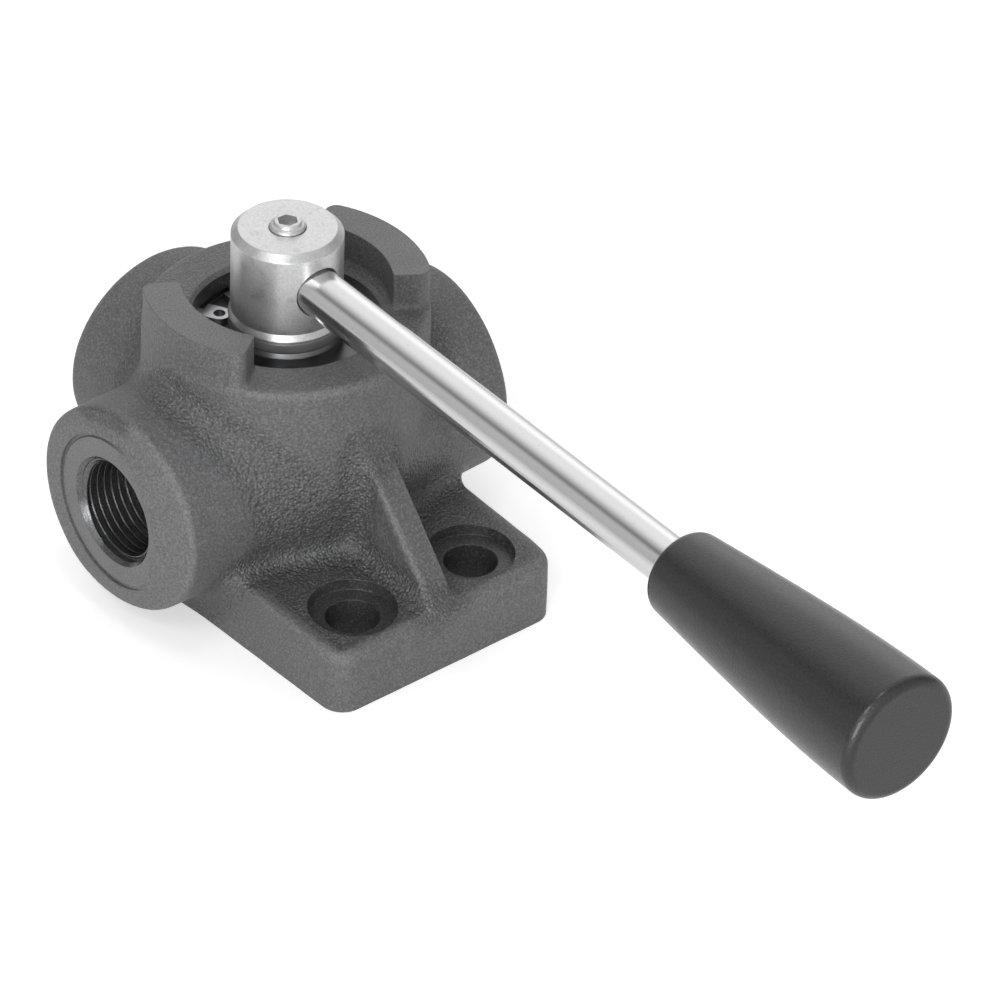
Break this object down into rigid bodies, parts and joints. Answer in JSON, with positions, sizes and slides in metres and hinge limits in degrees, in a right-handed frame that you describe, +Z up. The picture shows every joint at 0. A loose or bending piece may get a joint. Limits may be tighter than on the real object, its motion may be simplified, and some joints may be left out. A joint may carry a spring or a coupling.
{
  "type": "diverter valve",
  "caption": "Cast hydraulic diverter valve: a hand lever turns a plug that joins the rear port to either side port; bolted foot, threaded ports.",
  "frame": {"origin": "on the stem's axis, in the mounting face under the body", "axes": "+Z up along the stem; -Y towards the foot and the lever; side ports along -X (a) and +X (b), rear port along +Y (p)"},
  "size_m": [0.108, 0.2838, 0.0984],
  "materials": {
    "cast_iron": "phosphated sand casting, machined faces",
    "machined_steel": "turned",
    "zinc_steel": "turned and zinc plated",
    "spring_steel": "oiled spring steel",
    "chrome": "drawn bar, chrome plated",
    "grip_plastic": "moulded, satin black",
    "brass": "turned",
    "rubber": "moulded",
    "bearing_plastic": "machined"
  },
  "bodies": {
    "valve": {"valve_body": "cast_iron", "gland": "machined_steel", "gland_circlip": "spring_steel", "gland_seal_ring": "rubber", "stem_seal_ring_lower": "rubber", "stem_seal_ring_upper": "rubber", "stem_washer": "bearing_plastic", "plug_washer": "bearing_plastic", "dust_seal": "rubber", "seat_a": "bearing_plastic", "seat_seal_ring_a": "rubber", "seat_spring_a": "spring_steel", "seat_clip_a": "spring_steel", "seat_b": "bearing_plastic", "seat_seal_ring_b": "rubber", "seat_spring_b": "spring_steel", "seat_clip_b": "spring_steel", "seat_p": "bearing_plastic", "seat_seal_ring_p": "rubber", "seat_spring_p": "spring_steel", "seat_clip_p": "spring_steel"},
    "lever": {"stem": "zinc_steel", "rotor": "machined_steel", "dust_ring": "zinc_steel", "lever_rod": "chrome", "lever_grip": "grip_plastic", "grip_insert": "brass", "clamp_screw": "zinc_steel"}
  },
  "joints": [
    {"name": "lever_swing", "type": "hinge", "parent": "valve", "child": "lever", "pos_m": [0, 0, 0.0826], "axis": [0, 0, 1], "range_deg": [-42.6, 47.4]}
  ]
}
